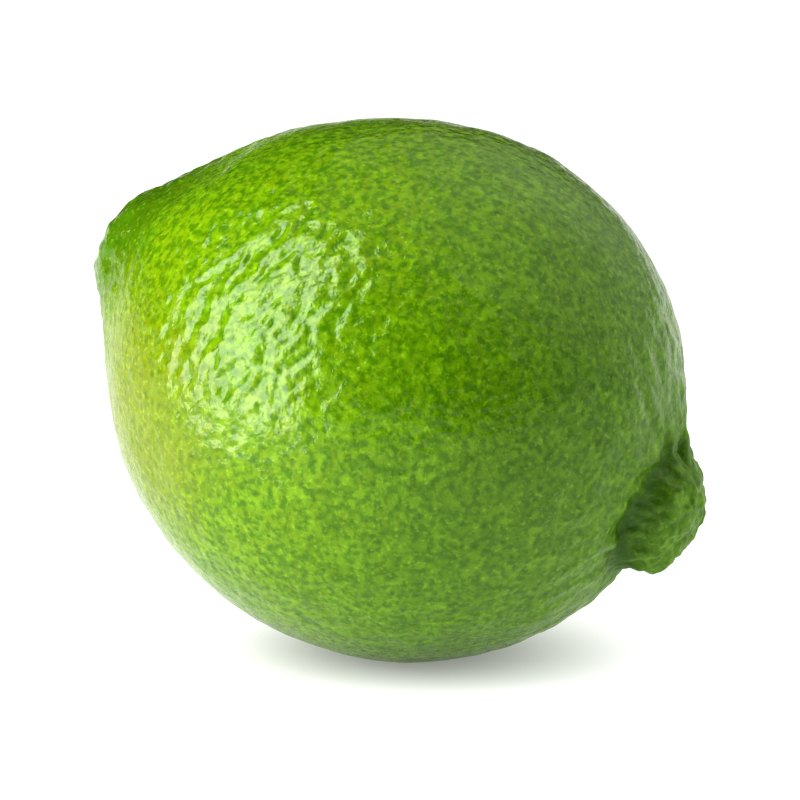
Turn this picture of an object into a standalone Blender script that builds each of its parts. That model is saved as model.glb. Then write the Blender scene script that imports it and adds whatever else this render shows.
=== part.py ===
"""A whole lime, as picked, lying on a small flat spot of its own rind.

The fruit is shaped along its own axis, with the stem end at -X and the nipple at +X, and is then tilted
about Y until the nipple end is low. The frame's origin is the middle of the flat spot, with +Z up, so the
fruit rests on the plane Z = 0. Lengths are in metres and angles in radians.

Places near an end are given as a distance and a turn round that end's own middle. A turn of 0 is the upper
side of the fruit and a quarter turn is its +Y side.
"""

import math

import bmesh
import bpy
import numpy as np

NAME = "lime"

# The body, a slightly uneven egg of revolution
WIDTH = 0.054
STEM_LENGTH = 0.0293  # from the widest place to the stem end, without the neck
TIP_LENGTH = 0.0287  # from the widest place to the nipple end, without the nipple
TIP_FULLNESS = 0.016  # how much fuller the nipple half is than the stem half
TOP_LEAN = 0.019  # how much further towards the nipple the upper side is full
GIRTH_WAVES = ((0.006, 2, 0.9), (0.005, 3, 2.1))  # share of the radius, waves round it, turn of a crest

# The neck, a short blunt cone that the stem grew on
NECK_HEIGHT = 0.0052
NECK_RADIUS = 0.0065
NECK_STEEPNESS = 3.0
NECK_RISE = 0.0016  # how far its middle lies above the axis
NECK_RIBS = 6
RIB_HEIGHT = 0.00016
RIB_MIDDLE = 0.0085  # how far from the neck's middle the ribs stand highest
RIB_SPREAD = 0.0035

# The scar on the neck's end: a dimple, and in it the button that the five sepals left
DIMPLE_RADIUS = 0.0034
DIMPLE_DEPTH = 0.0016
BUTTON_RADIUS = 0.0022
BUTTON_HEIGHT = 0.0008
SEPALS = 5
SEPAL_REACH = 0.22  # how far the sepals reach past the button, as a share of its radius

# The nipple, a blunt lobed knob with a furrow round its foot
NIPPLE_HEIGHT = 0.0043
NIPPLE_RADIUS = 0.0065
NIPPLE_RISE = 0.0005
NIPPLE_BLUNTNESS = 2.7
NIPPLE_LOBES = ((0.024, 2, 1.5), (0.034, 3, 3.5), (0.018, 5, 1.2))
FURROW_DEPTH = 0.0008
FURROW_PLACE = 1.10  # as a share of the nipple's radius, as is the next one
FURROW_WIDTH = 0.09
FURROW_DEEP_SIDE = -1.9  # the turn at which the furrow is deepest
COLLAR_HEIGHT = 0.0017  # a low fold of rind that rises against the nipple's upper and far side
COLLAR_PLACE = 0.0071
COLLAR_WIDTH = 0.0013
COLLAR_CREST = 0.6
COLLAR_REACH = 1.1  # how far round the fold runs from its crest
STYLE_SCAR_RADIUS = 0.0009
STYLE_SCAR_DEPTH = 0.0004

# How it lies
TILT = math.radians(22.8)
SPOT_RADIUS = 0.0055
SEARCH_STEPS = 721  # how finely the lowest point is looked for, along the fruit and round it

# The mesh
SEGMENTS = 64
RINGS = 56
END_CROWDING = 0.28  # how strongly the rings crowd towards both ends, where the shape is finest
CUTTER_SIZE = 0.03

RIND_COLOUR = (0.135, 0.330, 0.020, 1.0)
RIND_ROUGHNESS = 0.38
SMOOTH_ANGLE = math.radians(40)


def waves(turn, parts):
    """The sum of a few cosine waves round a circle, each with its size, its count and a crest's turn."""
    return sum(size * np.cos(count * (turn - crest)) for size, count, crest in parts)


def hump(distance, middle, spread):
    """1 at the middle, falling off to 0 on both sides."""
    return np.exp(-(((distance - middle) / spread) ** 2))


def plateau(distance, radius):
    """Nearly 1 inside the radius and nearly 0 outside it, with a soft edge."""
    return np.exp(-((distance / radius) ** 4))


def body_point(angle, turn):
    """A point of the plain body, from its angle off the nipple's end of the axis and its turn round it."""
    length = np.where(np.cos(angle) > 0, TIP_LENGTH, STEM_LENGTH)
    fullness = (TIP_FULLNESS + TOP_LEAN * np.cos(turn)) * np.sin(2 * angle)
    girth = waves(turn, GIRTH_WAVES) * np.sin(angle) ** 2
    radius = WIDTH / 2 * np.sin(angle) * (1 + fullness + girth)
    return length * np.cos(angle), radius * np.sin(turn), radius * np.cos(turn)


def stem_end_height(y, z):
    """How far the stem end stands out past the plain body, over a point's place across the axis."""
    distance = np.hypot(y, z - NECK_RISE)
    turn = np.arctan2(y, z - NECK_RISE)
    neck = NECK_HEIGHT / (1 + (distance / NECK_RADIUS) ** NECK_STEEPNESS)
    ribs = RIB_HEIGHT * np.cos(NECK_RIBS * turn) * hump(distance, RIB_MIDDLE, RIB_SPREAD)
    dimple = DIMPLE_DEPTH * plateau(distance, DIMPLE_RADIUS)
    sepal_radius = BUTTON_RADIUS * (1 + SEPAL_REACH * np.cos(SEPALS * turn))
    button = BUTTON_HEIGHT * plateau(distance, sepal_radius)
    return neck + ribs - dimple + button


def tip_end_height(y, z):
    """How far the nipple end stands out past the plain body, over a point's place across the axis."""
    distance = np.hypot(y, z - NIPPLE_RISE)
    turn = np.arctan2(y, z - NIPPLE_RISE)
    share = distance / (NIPPLE_RADIUS * (1 + waves(turn, NIPPLE_LOBES)))
    dome = NIPPLE_HEIGHT * np.sqrt(np.clip(1 - share**NIPPLE_BLUNTNESS, 0, 1))
    furrow_depth = FURROW_DEPTH * (0.6 + 0.4 * np.cos(turn - FURROW_DEEP_SIDE))
    furrow = furrow_depth * hump(share, FURROW_PLACE, FURROW_WIDTH)
    collar = COLLAR_HEIGHT * hump(distance, COLLAR_PLACE, COLLAR_WIDTH)
    collar = collar * hump(turn, COLLAR_CREST, COLLAR_REACH)
    scar = STYLE_SCAR_DEPTH * hump(distance, 0, STYLE_SCAR_RADIUS)
    return dome - furrow + collar - scar


def fruit_point(angle, turn):
    """A point of the whole fruit in its own frame, before it is tilted."""
    x, y, z = body_point(angle, turn)
    x = np.where(x > 0, x + tip_end_height(y, z), x - stem_end_height(y, z))
    return x, y, z


def tilted(x, z):
    """A point's place along X and Z once the fruit has turned about Y by its tilt."""
    return x * math.cos(TILT) + z * math.sin(TILT), z * math.cos(TILT) - x * math.sin(TILT)


def lowest_place():
    """The lowest point of the tilted fruit, which is where the middle of the flat spot will be."""
    angles = np.linspace(0, math.pi, SEARCH_STEPS)
    turns = np.linspace(0, 2 * math.pi, SEARCH_STEPS)
    x, y, z = fruit_point(*np.meshgrid(angles, turns))
    along, height = tilted(x, z)
    lowest = np.argmin(height)
    return along.flat[lowest], y.flat[lowest], height.flat[lowest]


def shape_fruit():
    """The fruit's closed mesh, made from a sphere whose points move to their places on the fruit."""
    shape = bmesh.new()
    bmesh.ops.create_uvsphere(shape, u_segments=SEGMENTS, v_segments=RINGS, radius=1.0)
    for vertex in shape.verts:
        ring_angle = math.acos(max(-1.0, min(1.0, vertex.co.z)))
        angle = ring_angle - END_CROWDING * math.sin(2 * ring_angle)
        vertex.co = [float(place) for place in fruit_point(angle, math.atan2(vertex.co.y, vertex.co.x))]
    bmesh.ops.recalc_face_normals(shape, faces=shape.faces)
    mesh = bpy.data.meshes.new(NAME)
    shape.to_mesh(mesh)
    shape.free()
    return mesh


def rind_material():
    material = bpy.data.materials.new("rind")
    material.use_nodes = True
    shader = material.node_tree.nodes["Principled BSDF"]
    shader.inputs["Base Color"].default_value = RIND_COLOUR
    shader.inputs["Roughness"].default_value = RIND_ROUGHNESS
    shader.inputs["Metallic"].default_value = 0.0
    return material


def make_collection(name):
    collection = bpy.data.collections.new(name)
    bpy.context.scene.collection.children.link(collection)
    return collection


def make_fruit(collection):
    """The fruit, tilted and set down so that its lowest point is below the origin by the spot's depth."""
    mesh = shape_fruit()
    mesh.materials.append(rind_material())
    mesh.shade_smooth()
    mesh.set_sharp_from_angle(angle=SMOOTH_ANGLE)
    fruit = bpy.data.objects.new(NAME, mesh)
    collection.objects.link(fruit)
    along, across, height = lowest_place()
    spot_depth = SPOT_RADIUS**2 / WIDTH
    fruit.rotation_euler = (0, TILT, 0)
    fruit.location = (-along, -across, -height - spot_depth)
    return fruit


def make_ground_cutter(collection):
    """A block whose top face is the plane that the fruit rests on."""
    bpy.ops.mesh.primitive_cube_add(size=CUTTER_SIZE, location=(0, 0, -CUTTER_SIZE / 2))
    cutter = bpy.context.object
    cutter.name = "ground_cutter"
    cutter.hide_render = True
    cutter.display_type = "WIRE"
    for holder in cutter.users_collection:
        holder.objects.unlink(cutter)
    collection.objects.link(cutter)
    return cutter


def cut_rest_spot(fruit, cutter):
    cut = fruit.modifiers.new("rest_spot", "BOOLEAN")
    cut.operation = "DIFFERENCE"
    cut.solver = "EXACT"
    cut.object = cutter


for leftover in list(bpy.data.objects):
    bpy.data.objects.remove(leftover)
lime = make_fruit(make_collection("lime"))
ground_cutter = make_ground_cutter(make_collection("cutters"))
cut_rest_spot(lime, ground_cutter)
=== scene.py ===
"""The looks of the lime: a finely pitted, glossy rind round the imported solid, and a pale studio.

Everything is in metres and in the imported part's frame: +Z up, the flat spot on the plane Z = 0, the nipple
end low at +X and the stem end high at -X. The fruit's own frame is turned about Y by the tilt, so that its
axis is X there. A turn round that axis is 0 on the upper side and a quarter turn on the +Y side.

A noise is given as a height, the size of its features and a shift, which is the place in the endless noise
where it is read. In the material it is given as a scale and a detail. A fade is given as the two values
between which something comes or goes.
"""

import math
import random

import bmesh
import bpy
import numpy as np
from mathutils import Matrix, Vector, kdtree, noise
from mathutils.bvhtree import BVHTree


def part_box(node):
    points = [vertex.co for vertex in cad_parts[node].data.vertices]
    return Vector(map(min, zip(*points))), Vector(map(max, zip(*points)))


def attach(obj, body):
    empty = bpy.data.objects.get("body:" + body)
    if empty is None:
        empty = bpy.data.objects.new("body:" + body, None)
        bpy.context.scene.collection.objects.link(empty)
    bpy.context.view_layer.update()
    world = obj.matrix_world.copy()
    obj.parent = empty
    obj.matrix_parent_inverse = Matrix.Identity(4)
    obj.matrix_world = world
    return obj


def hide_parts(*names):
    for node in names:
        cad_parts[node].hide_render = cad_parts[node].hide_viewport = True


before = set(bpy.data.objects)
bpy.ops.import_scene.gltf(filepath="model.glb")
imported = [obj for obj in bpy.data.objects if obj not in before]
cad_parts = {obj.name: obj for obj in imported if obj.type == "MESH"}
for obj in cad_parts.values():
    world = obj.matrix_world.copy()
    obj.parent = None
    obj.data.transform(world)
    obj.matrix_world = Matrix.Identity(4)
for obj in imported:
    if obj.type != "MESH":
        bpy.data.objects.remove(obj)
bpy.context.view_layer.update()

NODE = "lime"
MM = 0.001
TILT = math.radians(22.8)
SEED = 7

# The fine mesh
BALL_SUBDIVISIONS = 5
BALL_CUTS = 5
TIP_CROWDING = 0.45  # how much closer together the points lie round the nipple
TIP_CROWDING_REACH = 0.5
SMOOTH_ROUNDS = 34
TIP_SMOOTHING = (0.25, 0.55)  # how far a point moves in each round, on the nipple and away from it
TIP_SMOOTHING_FADE = (8 * MM, 13 * MM)
STEM_SMOOTHING = (0.15, 0.55)
STEM_SMOOTHING_FADE = (5 * MM, 9 * MM)

# The two ends: how far the middle of each lies above the axis, and how far from it its own rind reaches
NIPPLE_RISE = 0.5 * MM
NIPPLE_RADIUS = 6.5 * MM
NECK_RISE = 1.6 * MM
TIP_FADE = (8 * MM, 17 * MM)
STEM_FADE = (6 * MM, 15 * MM)
HALVES_FADE = (-28 * MM, 28 * MM)  # along the axis, from the stem half's green to the nipple half's

# The glands in the rind
GLAND_GAP = 0.95 * MM
GLAND_TRIES = 60000
GLAND_RADIUS = (0.32 * MM, 0.48 * MM)
GLAND_DEPTH = (0.020 * MM, 0.060 * MM)
GLANDS_FELT = 3  # how many of the nearest glands shape a point

# The longer dents between the ridges, which grow fewer along the axis
DENT_GAP = 1.9 * MM
DENT_TRIES = 8000
DENT_SHARE = 0.8
DENT_FADE = (-6 * MM, 14 * MM)
DENT_LENGTH = (0.6 * MM, 1.5 * MM)
DENT_WIDTH = (0.34 * MM, 0.52 * MM)
DENT_DEPTH = (0.06 * MM, 0.26 * MM)
DENT_LEAN = 0.6
DENT_REACH = 2.5  # how far from its middle a dent is followed, as a share of its length

# The body's slow swells, and the ridges of the rumpled rind, whose noise is bent and drawn out
SWELLS = ((0.14 * MM, 6.5 * MM, 0), (0.08 * MM, 2.8 * MM, 9))
RIDGE_HEIGHT = 0.17 * MM
RIDGE_SHARPNESS = 2.2
RIDGE_NOISE = (1, 2.0 * MM, 31)
RIDGE_STRETCH = (1, 1.5, 1.5)
RIDGE_BENDS = ((1.1 * MM, 1.9 * MM, 3), (1.1 * MM, 1.9 * MM, 13), (1.1 * MM, 1.9 * MM, 23))

# Where the rind is rumpled: a patch on the upper stem half, and more patches here and there on the +Y side
RUMPLED_PLACE = (-12.5 * MM, -22 * MM, 9 * MM)
RUMPLED_FADE = (9 * MM, 16 * MM)
FAR_PATCHES = (1, 17 * MM, 5)
FAR_PATCH_FADE = (0.1, 0.5)
FAR_PATCH_SHARE = 0.8
PLAIN_SHARE = 0.12  # how much of the ridges and dents is left elsewhere

# The streaks on the flank round the nipple, and the puckers across its furrow: each as a height, a count
# round the fruit, a length and a shift
FLANK_STREAKS = (0.30 * MM, 52, 3.5 * MM, 0)
FLANK_PLACE = 13 * MM
FLANK_SPREAD = 6 * MM
PUCKERS = (0.72 * MM, 34, 3.2 * MM, 5)
PUCKER_BEND = (0.22, 2.5 * MM, 57)  # a noise that bends the puckers, as a turn
PUCKER_PLACE = 1.15 * NIPPLE_RADIUS
PUCKER_SPREAD = 2.0 * MM

# The furrow round the nipple's foot, where the rind's colour is darkened as painted shade
FURROW_DEPTH = 0.35 * MM
FURROW_PLACE = 1.08 * NIPPLE_RADIUS
FURROW_SPREAD = 0.9 * MM
FURROW_EVENNESS = 0.62  # its mean depth, as a share of its deepest
FURROW_DEEP_SIDE = -1.9

# Small knobs on the nipple and the neck
TIP_KNOBS = ((0.36 * MM, 1.3 * MM, 77), (0.18 * MM, 0.7 * MM, 63))
TIP_KNOB_FADE = (6.5 * MM, 9 * MM)
STEM_KNOBS = (0.26 * MM, 1.2 * MM, 19)

# The scar that the stem and its sepals left
SCAR_RADIUS = 2.2 * MM
SCAR_EDGE = 0.45 * MM
SCAR_WAVER = (0.2, 0.9 * MM, 0)  # as a share of the radius, as is the sepals' reach
SEPALS = 5
SEPAL_REACH = 0.22

# The yellower flush on the stem half
FLUSH_PLACE = (-21 * MM, -17 * MM, -9 * MM)
FLUSH_FADE = (4 * MM, 19 * MM)
FLUSH_WAVER = (2.5 * MM, 5 * MM, 41)

# Where the body is fuller or hollower than a plain egg: a place in the fruit's frame, a radius and a height
SWELLINGS = (
    ((18.2 * MM, 0.5 * MM, 21.6 * MM), 7.0 * MM, 0.26 * MM),
    ((24.3 * MM, -9.0 * MM, -11.3 * MM), 4.5 * MM, 0.42 * MM),
    ((19.9 * MM, -11.7 * MM, -15.6 * MM), 3.0 * MM, -0.25 * MM),
    ((-5.0 * MM, -0.9 * MM, 26.0 * MM), 10.0 * MM, 0.22 * MM),
    ((-24.3 * MM, -4.3 * MM, 13.5 * MM), 4.6 * MM, -0.42 * MM),
    ((-30.5 * MM, -3.9 * MM, 6.4 * MM), 2.2 * MM, 0.30 * MM),
    ((-31.5 * MM, -4.5 * MM, 2.5 * MM), 2.2 * MM, 0.25 * MM),
    ((-26.7 * MM, -11.5 * MM, -4.0 * MM), 4.0 * MM, -0.20 * MM),
    ((29.6 * MM, 0.4 * MM, 6.9 * MM), 1.2 * MM, -1.10 * MM),
    ((32.7 * MM, -2.5 * MM, -0.9 * MM), 1.1 * MM, -0.80 * MM),
    ((31.6 * MM, -2.9 * MM, -3.4 * MM), 1.6 * MM, 0.50 * MM),
)

# The rind's greens, and the layers over them: what each one follows, the fade of that, the layer's largest
# share and its colour
STEM_HALF_GREEN = (0.172, 0.280, 0.002)
TIP_HALF_GREEN = (0.112, 0.238, 0.003)
GREENS_FADE = (0.35, 0.95)
RIND_LAYERS = (
    (("noise", 110, 3), (0.35, 0.68), 0.50, (0.115, 0.240, 0.003)),  # dark clouds
    (("noise", 480, 2), (0.40, 0.70), 0.40, (0.220, 0.420, 0.010)),  # light clouds
    (("mask", "stem"), (0.10, 0.90), 0.95, (0.072, 0.145, 0.002)),
    (("noise", 1300, 3), (0.42, 0.62), 0.80, (0.064, 0.165, 0.002)),  # mottling
    (("mask", "flush"), (0.00, 1.00), 0.72, (0.172, 0.200, 0.001)),
    (("cells", 930), (0.46, 0.10), 0.50, (0.045, 0.125, 0.002)),  # dark dots
    (("noise", 2100, 2), (0.56, 0.74), 0.32, (0.360, 0.560, 0.030)),  # light flecks
    # painted shade: the rind's colour is darkened inside the dents
    (("mask", "dent"), (0.00, 1.00), 0.50, (0.075, 0.205, 0.002)),
    # painted shade: the rind's colour is darkened in the furrow round the nipple
    (("mask", "furrow"), (0.00, 1.00), 0.80, (0.035, 0.100, 0.006)),
)
SCAR_BROWNS = ((0.105, 0.070, 0.022), (0.300, 0.225, 0.095))
SCAR_GRAIN = (1500, 3)
SCAR_GRAIN_FADE = (0.35, 0.65)

# The rind's gloss and its finest relief
RIND_IOR = 1.45
ROUGHNESS = (0.16, 0.26)
ROUGHNESS_GRAIN = (600, 2)
ROUGHNESS_GRAIN_FADE = (0.3, 0.7)
TIP_DULLING = 0.25  # how much rougher the nipple is at most, as the next one is for the scar
SCAR_DULLING = 0.45
TIP_DULLING_FADE = (0.2, 1)
PORE_SCALE = 960
PORE_DEPTH = 0.120 * MM
GRAIN = (1900, 2)
GRAIN_DEPTH = 0.080 * MM

# The camera, which aims a little to the left of the flat spot and about halfway up the fruit
CAMERA_AZIMUTH = math.radians(17)
CAMERA_ELEVATION = math.radians(12)
CAMERA_DISTANCE = 0.70
LENS = 316.4
AIM_RIGHT = -1.18 * MM
AIM_HEIGHT = 25.5 * MM

# The soft box. It and the far lights have their azimuth in degrees, counted from the camera's, to the right.
KEY_AZIMUTH = -64
KEY_DISTANCE = 0.22
KEY_WIDTH = 0.155
KEY_HEIGHT = 0.56
KEY_RADIANCE = 6.2

# The soft lights from far away: a name, an azimuth, an elevation, the angle that each one fills, a strength
FAR_LIGHTS = (
    ("fill_wide", 108, 47, 115, 0.95),
    ("fill_core", 104, 47, 80, 0.60),
)

# The floor and the room
FLOOR_REACH = 100.0
FLOOR_DROP = 0.05 * MM
FLOOR_COLOUR = (0.45, 0.45, 0.45, 1)
# The floor's glow dips near the fruit, which paints a shadow round where it touches
FLOOR_GLOW_AND_PAINTED_SHADOW = (0.22, 0.62)  # near the fruit and far from it
PAINTED_SHADOW_REACH = (4 * MM, 28 * MM)  # where the glow starts to rise and where it is full
WHITE = (1, 1, 1, 1)
WALL_GLOW = (0.80, 0.03)  # at the floor and overhead
WALL_FADE = (0.03, 0.09)  # the heights, as the sine of the angle above the floor, between which it fades


# ---------------------------------------------------------------- small helpers


def smooth_step(low, high, value):
    """0 below the low value, 1 above the high one and a smooth way between them."""
    share = np.clip((value - low) / (high - low), 0.0, 1.0)
    return share * share * (3 - 2 * share)


def hump(value, middle, spread):
    """1 at the middle, falling off to 0 on both sides."""
    return np.exp(-(((value - middle) / spread) ** 2))


def between(ends, share):
    """The value that lies the given share of the way from the first end to the second."""
    first, second = ends
    return first + (second - first) * share


def noise_at(points, height, size, shift, stretch=(1, 1, 1)):
    """Smooth noise at each point, from about minus the height to the height."""
    scaled = points / size / np.array(stretch) + shift
    return height * np.array([noise.noise(Vector(place)) for place in scaled])


def to_fruit(points, middle):
    """Places in the fruit's own frame."""
    x, y, z = (points - middle).T
    along = x * math.cos(TILT) - z * math.sin(TILT)
    up = x * math.sin(TILT) + z * math.cos(TILT)
    return np.stack([along, y, up], 1)


def to_world(directions):
    """Directions from the fruit's own frame."""
    x, y, z = directions.T
    return np.stack([x * math.cos(TILT) + z * math.sin(TILT), y, z * math.cos(TILT) - x * math.sin(TILT)], 1)


def distance_from(place, points):
    return np.linalg.norm(points - np.array(place), axis=1)


def around_end(fruit, rise):
    """Each point's distance from the middle of an end and its turn round it, from the end's rise."""
    across, up = fruit[:, 1], fruit[:, 2] - rise
    return np.hypot(across, up), np.arctan2(across, up)


# ---------------------------------------------------------------- the fine mesh


def even_ball():
    """A unit ball of even triangles, as vertex directions and faces."""
    ball = bmesh.new()
    bmesh.ops.create_icosphere(ball, subdivisions=BALL_SUBDIVISIONS, radius=1.0)
    bmesh.ops.subdivide_edges(ball, edges=ball.edges[:], cuts=BALL_CUTS, use_grid_fill=True)
    ball.verts.index_update()
    directions = np.array([vertex.co[:] for vertex in ball.verts])
    faces = np.array([[vertex.index for vertex in face.verts] for face in ball.faces])
    ball.free()
    return directions / np.linalg.norm(directions, axis=1)[:, None], faces


def crowded(directions):
    """The same directions, moved closer together round the nipple's end of the X axis."""
    angle = np.arccos(np.clip(directions[:, 0], -1, 1))
    angle = angle * (1 - TIP_CROWDING * np.exp(-((angle / TIP_CROWDING_REACH) ** 2)))
    turn = np.arctan2(directions[:, 1], directions[:, 2])
    return np.stack([np.cos(angle), np.sin(angle) * np.sin(turn), np.sin(angle) * np.cos(turn)], 1)


def wrapped(directions, node, middle):
    """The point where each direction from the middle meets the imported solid."""
    solid = node.data
    tree = BVHTree.FromPolygons([v.co[:] for v in solid.vertices], [p.vertices[:] for p in solid.polygons])
    start = Vector(middle)
    return np.array([tree.ray_cast(start, Vector(way))[0][:] for way in directions])


def edges_of(faces):
    pairs = np.concatenate([faces[:, (0, 1)], faces[:, (1, 2)], faces[:, (2, 0)]])
    return np.unique(np.sort(pairs, axis=1), axis=0)


def relaxed(points, edges, share, rounds):
    """Each point moved by its share towards the mean of its neighbours, in each of the rounds."""
    first, second = edges.T
    count = len(points)
    neighbours = np.bincount(first, minlength=count) + np.bincount(second, minlength=count)
    for _ in range(rounds):
        total = np.empty_like(points)
        for axis in range(3):
            total[:, axis] = np.bincount(first, points[second, axis], count)
            total[:, axis] += np.bincount(second, points[first, axis], count)
        points = points + share[:, None] * (total / neighbours[:, None] - points)
    return points


def normals_of(points, faces):
    a, b, c = points[faces[:, 0]], points[faces[:, 1]], points[faces[:, 2]]
    face_normals = np.cross(b - a, c - a)
    normals = np.zeros_like(points)
    for corner in range(3):
        for axis in range(3):
            normals[:, axis] += np.bincount(faces[:, corner], face_normals[:, axis], len(points))
    return normals / np.linalg.norm(normals, axis=1)[:, None]


def smoothed(points, faces, fruit):
    """The points with the solid's facets smoothed away and its size kept, and their normals."""
    off_axis = np.hypot(fruit[:, 1], fruit[:, 2])
    tip_share = between(TIP_SMOOTHING, smooth_step(*TIP_SMOOTHING_FADE, off_axis))
    stem_share = between(STEM_SMOOTHING, smooth_step(*STEM_SMOOTHING_FADE, off_axis))
    share = np.where(fruit[:, 0] > 0, tip_share, stem_share)
    moved = relaxed(points, edges_of(faces), share, SMOOTH_ROUNDS)
    normals = normals_of(moved, faces)
    lost = ((points - moved) * normals).sum(1).mean()
    return moved + normals * lost, normals


# ---------------------------------------------------------------- relief


def scattered(points, gap, tries, seed):
    """Random places on the rind, none nearer to another than the gap."""
    chooser = random.Random(seed)
    kept = {}
    places = []
    for _ in range(tries):
        place = points[chooser.randrange(len(points))]
        cell = [int(math.floor(value / gap)) for value in place]
        near = (
            other
            for dx in (-1, 0, 1)
            for dy in (-1, 0, 1)
            for dz in (-1, 0, 1)
            for other in kept.get((cell[0] + dx, cell[1] + dy, cell[2] + dz), ())
        )
        if all(sum((place - other) ** 2) > gap**2 for other in near):
            kept.setdefault(tuple(cell), []).append(place)
            places.append(place)
    return places


def gland_pits(points):
    """How deep each point lies in the glands' pits."""
    places = scattered(points, GLAND_GAP, GLAND_TRIES, SEED)
    chooser = random.Random(SEED + 1)
    radii = [chooser.uniform(*GLAND_RADIUS) for _ in places]
    depths = [chooser.uniform(*GLAND_DEPTH) for _ in places]
    tree = kdtree.KDTree(len(places))
    for index, place in enumerate(places):
        tree.insert(place, index)
    tree.balance()
    depth = np.zeros(len(points))
    for at, point in enumerate(points):
        for _, index, distance in tree.find_n(point, GLANDS_FELT):
            depth[at] += depths[index] * math.exp(-((distance / radii[index]) ** 2))
    return depth


def dents(fruit):
    """How deep each point lies in the longer dents, which run round the fruit's axis."""
    centres = scattered(fruit, DENT_GAP, DENT_TRIES, SEED + 2)
    chooser = random.Random(SEED + 3)
    depth = np.zeros(len(fruit))
    for centre in centres:
        if chooser.random() > DENT_SHARE * (1 - smooth_step(*DENT_FADE, centre[0])):
            continue
        outward = centre / np.linalg.norm(centre)
        around = np.cross(outward, (1, 0, 0))
        around = around / np.linalg.norm(around)
        lengthwise = np.cross(around, outward)
        lean = chooser.uniform(-DENT_LEAN, DENT_LEAN)
        along_dent = around * math.cos(lean) + lengthwise * math.sin(lean)
        across_dent = lengthwise * math.cos(lean) - around * math.sin(lean)
        length = chooser.uniform(*DENT_LENGTH)
        width = chooser.uniform(*DENT_WIDTH)
        deep = chooser.uniform(*DENT_DEPTH)
        near = np.nonzero(((fruit - centre) ** 2).sum(1) < (DENT_REACH * length) ** 2)[0]
        offset = fruit[near] - centre
        reach = (offset @ along_dent / length) ** 2 + (offset @ across_dent / width) ** 2
        depth[near] = np.maximum(depth[near], deep * np.exp(-reach))
    return depth


def streaks(turn, distance, height, count, length, shift):
    """Noise drawn out along the fruit's meridians, with the given count of streaks round it."""
    ring = count / (2 * math.pi)
    places = np.stack([ring * np.cos(turn), ring * np.sin(turn), distance / length + shift], 1)
    return height * np.array([noise.noise(Vector(place)) for place in places])


def swells(fruit):
    """The slow unevenness of the body, and the places where it is fuller or hollower."""
    height = sum(noise_at(fruit, *swell) for swell in SWELLS)
    for place, radius, rise in SWELLINGS:
        height = height + rise * hump(distance_from(place, fruit), 0, radius)
    return height


def rumpled_share(fruit):
    """How rumpled the rind is at each point, from the plain share to 1."""
    patch = 1 - smooth_step(*RUMPLED_FADE, distance_from(RUMPLED_PLACE, fruit))
    far_patches = FAR_PATCH_SHARE * smooth_step(*FAR_PATCH_FADE, noise_at(fruit, *FAR_PATCHES))
    return between((PLAIN_SHARE, 1), np.maximum(patch, far_patches * (fruit[:, 1] > 0)))


def ridges(fruit):
    """The crooked ridges of the rumpled rind."""
    bent = fruit + np.stack([noise_at(fruit, *bend) for bend in RIDGE_BENDS], 1)
    return RIDGE_HEIGHT * (1 - RIDGE_SHARPNESS * np.abs(noise_at(bent, *RIDGE_NOISE, RIDGE_STRETCH)))


def furrow_share(distance, turn):
    """How deep each point lies in the furrow round the nipple, from 0 to 1."""
    unevenness = (1 - FURROW_EVENNESS) * np.cos(turn - FURROW_DEEP_SIDE)
    return hump(distance, FURROW_PLACE, FURROW_SPREAD) * (FURROW_EVENNESS + unevenness)


def tip_relief(fruit, distance, turn):
    """The streaks, puckers and knobs of the nipple half."""
    flank = streaks(turn, distance, *FLANK_STREAKS) * hump(distance, FLANK_PLACE, FLANK_SPREAD)
    bent_turn = turn + noise_at(fruit, *PUCKER_BEND)
    puckers = streaks(bent_turn, distance, *PUCKERS) * hump(distance, PUCKER_PLACE, PUCKER_SPREAD)
    knobs = sum(noise_at(fruit, *knobs) for knobs in TIP_KNOBS)
    return flank + puckers + knobs * (1 - smooth_step(*TIP_KNOB_FADE, distance))


def scar_share(fruit, distance, turn):
    """1 on the star-shaped scar of the stem and its sepals and 0 off it, with a soft edge."""
    radius = SCAR_RADIUS * (1 + SEPAL_REACH * np.cos(SEPALS * turn) + noise_at(fruit, *SCAR_WAVER))
    return 1 - smooth_step(radius, radius + SCAR_EDGE, distance)


def carved(points, normals, fruit):
    """The rind's relief: points moved along their normals, and the masks that the material reads."""
    tip_half = fruit[:, 0] > 0
    tip_distance, tip_turn = around_end(fruit, NIPPLE_RISE)
    stem_distance, stem_turn = around_end(fruit, NECK_RISE)
    near_stem = np.where(tip_half, 0, 1 - smooth_step(*STEM_FADE, stem_distance))
    furrow = np.where(tip_half, furrow_share(tip_distance, tip_turn), 0)
    rumpled = rumpled_share(fruit)
    dent = dents(fruit) * rumpled

    height = swells(fruit) + ridges(fruit) * rumpled - dent - gland_pits(points)
    height = height + np.where(tip_half, tip_relief(fruit, tip_distance, tip_turn), 0)
    height = height + noise_at(fruit, *STEM_KNOBS) * near_stem - FURROW_DEPTH * furrow
    points = points + normals * height[:, None]
    points[:, 2] = np.maximum(points[:, 2], 0.0)

    flush_distance = distance_from(FLUSH_PLACE, fruit) + noise_at(fruit, *FLUSH_WAVER)
    masks = {
        # painted shade: this mask darkens the rind's colour inside the dents
        "dent": np.clip(dent / DENT_DEPTH[1], 0, 1),
        # painted shade: this mask darkens the rind's colour in the furrow
        "furrow": furrow,
        "tip": np.where(tip_half, 1 - smooth_step(*TIP_FADE, tip_distance), 0),
        "stem": near_stem,
        "scar": np.where(tip_half, 0, scar_share(fruit, stem_distance, stem_turn)),
        "flush": 1 - smooth_step(*FLUSH_FADE, flush_distance),
        "along": smooth_step(*HALVES_FADE, fruit[:, 0]),
    }
    return points, masks


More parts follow.
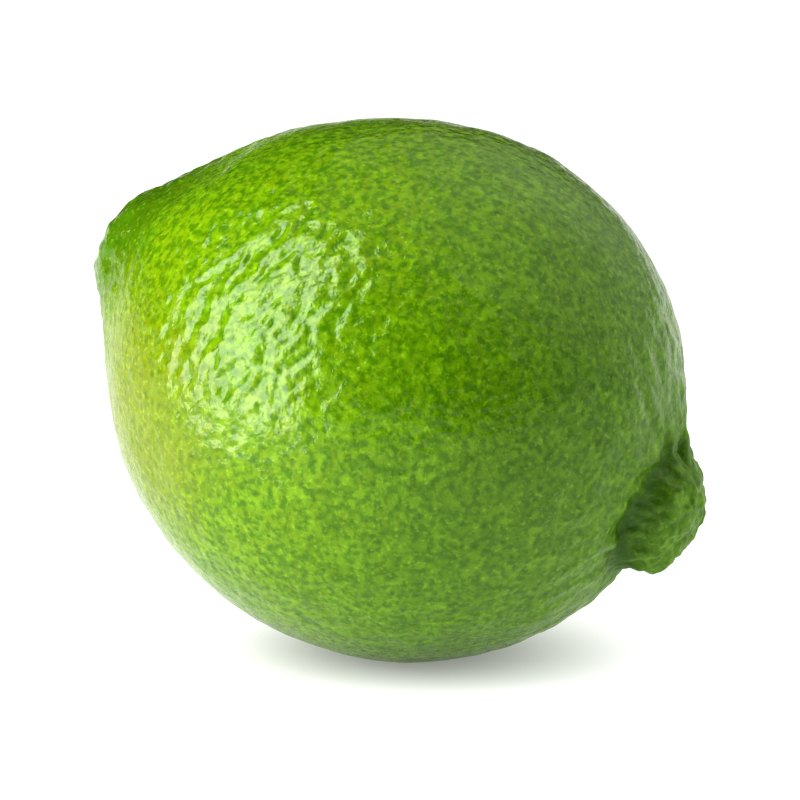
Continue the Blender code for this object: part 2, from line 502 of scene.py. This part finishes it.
def make_rind():
    low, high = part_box(NODE)
    middle = np.array((low + high) / 2)
    directions, faces = even_ball()
    points = wrapped(to_world(crowded(directions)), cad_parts[NODE], middle)
    points, normals = smoothed(points, faces, to_fruit(points, middle))
    points, masks = carved(points, normals, to_fruit(points, middle))
    mesh = bpy.data.meshes.new("rind")
    mesh.from_pydata(points.tolist(), [], faces.tolist())
    mesh.shade_smooth()
    for name, values in masks.items():
        mesh.attributes.new(name, "FLOAT", "POINT").data.foreach_set("value", values.astype(np.float32))
    rind = bpy.data.objects.new("rind", mesh)
    bpy.context.scene.collection.objects.link(rind)
    return rind


# ---------------------------------------------------------------- materials


def mapped(tree, value, fade, ends=(0, 1), interpolation="LINEAR"):
    """A value that goes from the first end to the second as the given value crosses the fade."""
    node = tree.nodes.new("ShaderNodeMapRange")
    node.interpolation_type = interpolation
    node.inputs["From Min"].default_value, node.inputs["From Max"].default_value = fade
    node.inputs["To Min"].default_value, node.inputs["To Max"].default_value = ends
    tree.links.new(value, node.inputs["Value"])
    return node.outputs["Result"]


def mask(tree, name):
    node = tree.nodes.new("ShaderNodeAttribute")
    node.attribute_name = name
    return node.outputs["Fac"]


def mixed(tree, share, first, second):
    """Two colours, each a constant or a socket, mixed by the share of the second."""
    node = tree.nodes.new("ShaderNodeMix")
    node.data_type = "RGBA"
    tree.links.new(share, node.inputs["Factor"])
    for socket, colour in ((node.inputs["A"], first), (node.inputs["B"], second)):
        if isinstance(colour, tuple):
            socket.default_value = (*colour, 1)
        else:
            tree.links.new(colour, socket)
    return node.outputs["Result"]


def combined(tree, operation, first, second):
    node = tree.nodes.new("ShaderNodeMath")
    node.operation = operation
    tree.links.new(first, node.inputs[0])
    tree.links.new(second, node.inputs[1])
    return node.outputs["Value"]


def bumped(tree, height, depth):
    node = tree.nodes.new("ShaderNodeBump")
    node.inputs["Strength"].default_value = 1.0
    node.inputs["Distance"].default_value = depth
    tree.links.new(height, node.inputs["Height"])
    return node


def rind_material():
    material = bpy.data.materials.new("rind")
    material.use_nodes = True
    tree = material.node_tree
    shader = tree.nodes["Principled BSDF"]
    place = tree.nodes.new("ShaderNodeTexCoord").outputs["Object"]

    def noise_value(scale, detail):
        node = tree.nodes.new("ShaderNodeTexNoise")
        node.inputs["Scale"].default_value = scale
        node.inputs["Detail"].default_value = detail
        tree.links.new(place, node.inputs["Vector"])
        return node.outputs["Fac"]

    def cell_distance(scale, feature="F1"):
        node = tree.nodes.new("ShaderNodeTexVoronoi")
        node.feature = feature
        node.inputs["Scale"].default_value = scale
        tree.links.new(place, node.inputs["Vector"])
        return node.outputs["Distance"]

    def followed(kind, *settings):
        if kind == "mask":
            return mask(tree, *settings)
        if kind == "cells":
            return cell_distance(*settings)
        return noise_value(*settings)

    colour = mixed(tree, mapped(tree, mask(tree, "along"), GREENS_FADE), STEM_HALF_GREEN, TIP_HALF_GREEN)
    for source, fade, share, layer_colour in RIND_LAYERS:
        colour = mixed(tree, mapped(tree, followed(*source), fade, (0, share)), colour, layer_colour)
    brown = mixed(tree, mapped(tree, noise_value(*SCAR_GRAIN), SCAR_GRAIN_FADE), *SCAR_BROWNS)
    tree.links.new(mixed(tree, mask(tree, "scar"), colour, brown), shader.inputs["Base Color"])

    roughness = mapped(tree, noise_value(*ROUGHNESS_GRAIN), ROUGHNESS_GRAIN_FADE, ROUGHNESS)
    tip_dulling = mapped(tree, mask(tree, "tip"), TIP_DULLING_FADE, (0, TIP_DULLING))
    scar_dulling = mapped(tree, mask(tree, "scar"), (0, 1), (0, SCAR_DULLING))
    dulling = combined(tree, "MAXIMUM", tip_dulling, scar_dulling)
    tree.links.new(combined(tree, "ADD", roughness, dulling), shader.inputs["Roughness"])
    shader.inputs["IOR"].default_value = RIND_IOR

    pores = bumped(tree, cell_distance(PORE_SCALE, "SMOOTH_F1"), PORE_DEPTH)
    grain = bumped(tree, noise_value(*GRAIN), GRAIN_DEPTH)
    tree.links.new(pores.outputs["Normal"], grain.inputs["Normal"])
    tree.links.new(grain.outputs["Normal"], shader.inputs["Normal"])
    return material


def floor_material():
    """A matt white that glows a little, and less so where the fruit touches it: a painted shadow round the
    contact.
    """
    material = bpy.data.materials.new("floor")
    material.use_nodes = True
    tree = material.node_tree
    shader = tree.nodes["Principled BSDF"]
    shader.inputs["Base Color"].default_value = FLOOR_COLOUR
    shader.inputs["Roughness"].default_value = 1.0
    shader.inputs["Specular IOR Level"].default_value = 0.0
    shader.inputs["Emission Color"].default_value = WHITE
    distance = tree.nodes.new("ShaderNodeVectorMath")
    distance.operation = "LENGTH"
    tree.links.new(tree.nodes.new("ShaderNodeTexCoord").outputs["Object"], distance.inputs[0])
    # painted shadow: the glow is lowest where the fruit touches the floor
    glow = mapped(tree, distance.outputs["Value"], PAINTED_SHADOW_REACH, FLOOR_GLOW_AND_PAINTED_SHADOW, "SMOOTHSTEP")
    tree.links.new(glow, shader.inputs["Emission Strength"])
    return material


# ---------------------------------------------------------------- studio


def way_to(azimuth, elevation):
    """The direction to a place, its azimuth counted from the camera's, to the right. Both are in radians."""
    turn = CAMERA_AZIMUTH + azimuth
    level = math.cos(elevation)
    return Vector((math.sin(turn) * level, -math.cos(turn) * level, math.sin(elevation)))


def placed(name, data, way):
    """A camera or light that stands in the given direction and looks back along it."""
    thing = bpy.data.objects.new(name, data)
    thing.rotation_euler = way.to_track_quat("Z", "Y").to_euler()
    bpy.context.scene.collection.objects.link(thing)
    return thing


def make_camera():
    data = bpy.data.cameras.new("camera")
    data.lens = LENS
    back = way_to(0, CAMERA_ELEVATION)
    right = Vector((math.cos(CAMERA_AZIMUTH), math.sin(CAMERA_AZIMUTH), 0))
    camera = placed("camera", data, back)
    camera.location = right * AIM_RIGHT + Vector((0, 0, AIM_HEIGHT)) + back * CAMERA_DISTANCE
    bpy.context.scene.camera = camera


def make_key():
    """A soft box that stands on the floor and faces the fruit."""
    data = bpy.data.lights.new("key", "AREA")
    data.shape = "RECTANGLE"
    data.size, data.size_y = KEY_WIDTH, KEY_HEIGHT
    data.energy = KEY_RADIANCE * math.pi * KEY_WIDTH * KEY_HEIGHT
    way = way_to(math.radians(KEY_AZIMUTH), 0)
    key = placed("key", data, way)
    key.location = way * KEY_DISTANCE + Vector((0, 0, KEY_HEIGHT / 2))
    key.visible_camera = False


def make_far_light(name, azimuth, elevation, width, strength):
    data = bpy.data.lights.new(name, "SUN")
    data.angle = math.radians(width)
    data.energy = strength
    placed(name, data, way_to(math.radians(azimuth), math.radians(elevation)))


def make_floor():
    shape = bmesh.new()
    bmesh.ops.create_grid(shape, x_segments=1, y_segments=1, size=FLOOR_REACH)
    mesh = bpy.data.meshes.new("floor")
    shape.to_mesh(mesh)
    shape.free()
    mesh.materials.append(floor_material())
    floor = bpy.data.objects.new("floor", mesh)
    floor.location.z = -FLOOR_DROP
    bpy.context.scene.collection.objects.link(floor)


def make_world():
    """A dim white room whose wall is bright where it meets the floor, so that no horizon shows."""
    world = bpy.data.worlds.new("studio")
    world.use_nodes = True
    tree = world.node_tree
    background = tree.nodes["Background"]
    background.inputs["Color"].default_value = WHITE
    parts = tree.nodes.new("ShaderNodeSeparateXYZ")
    tree.links.new(tree.nodes.new("ShaderNodeTexCoord").outputs["Generated"], parts.inputs["Vector"])
    wall = mapped(tree, parts.outputs["Z"], WALL_FADE, WALL_GLOW)
    tree.links.new(wall, background.inputs["Strength"])
    bpy.context.scene.world = world


rind = make_rind()
rind.data.materials.append(rind_material())
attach(rind, "root")
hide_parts(NODE)
make_camera()
make_key()
for far_light in FAR_LIGHTS:
    make_far_light(*far_light)
make_floor()
make_world()
bpy.context.scene.view_settings.view_transform = "Standard"
bpy.context.scene.view_settings.look = "High Contrast"
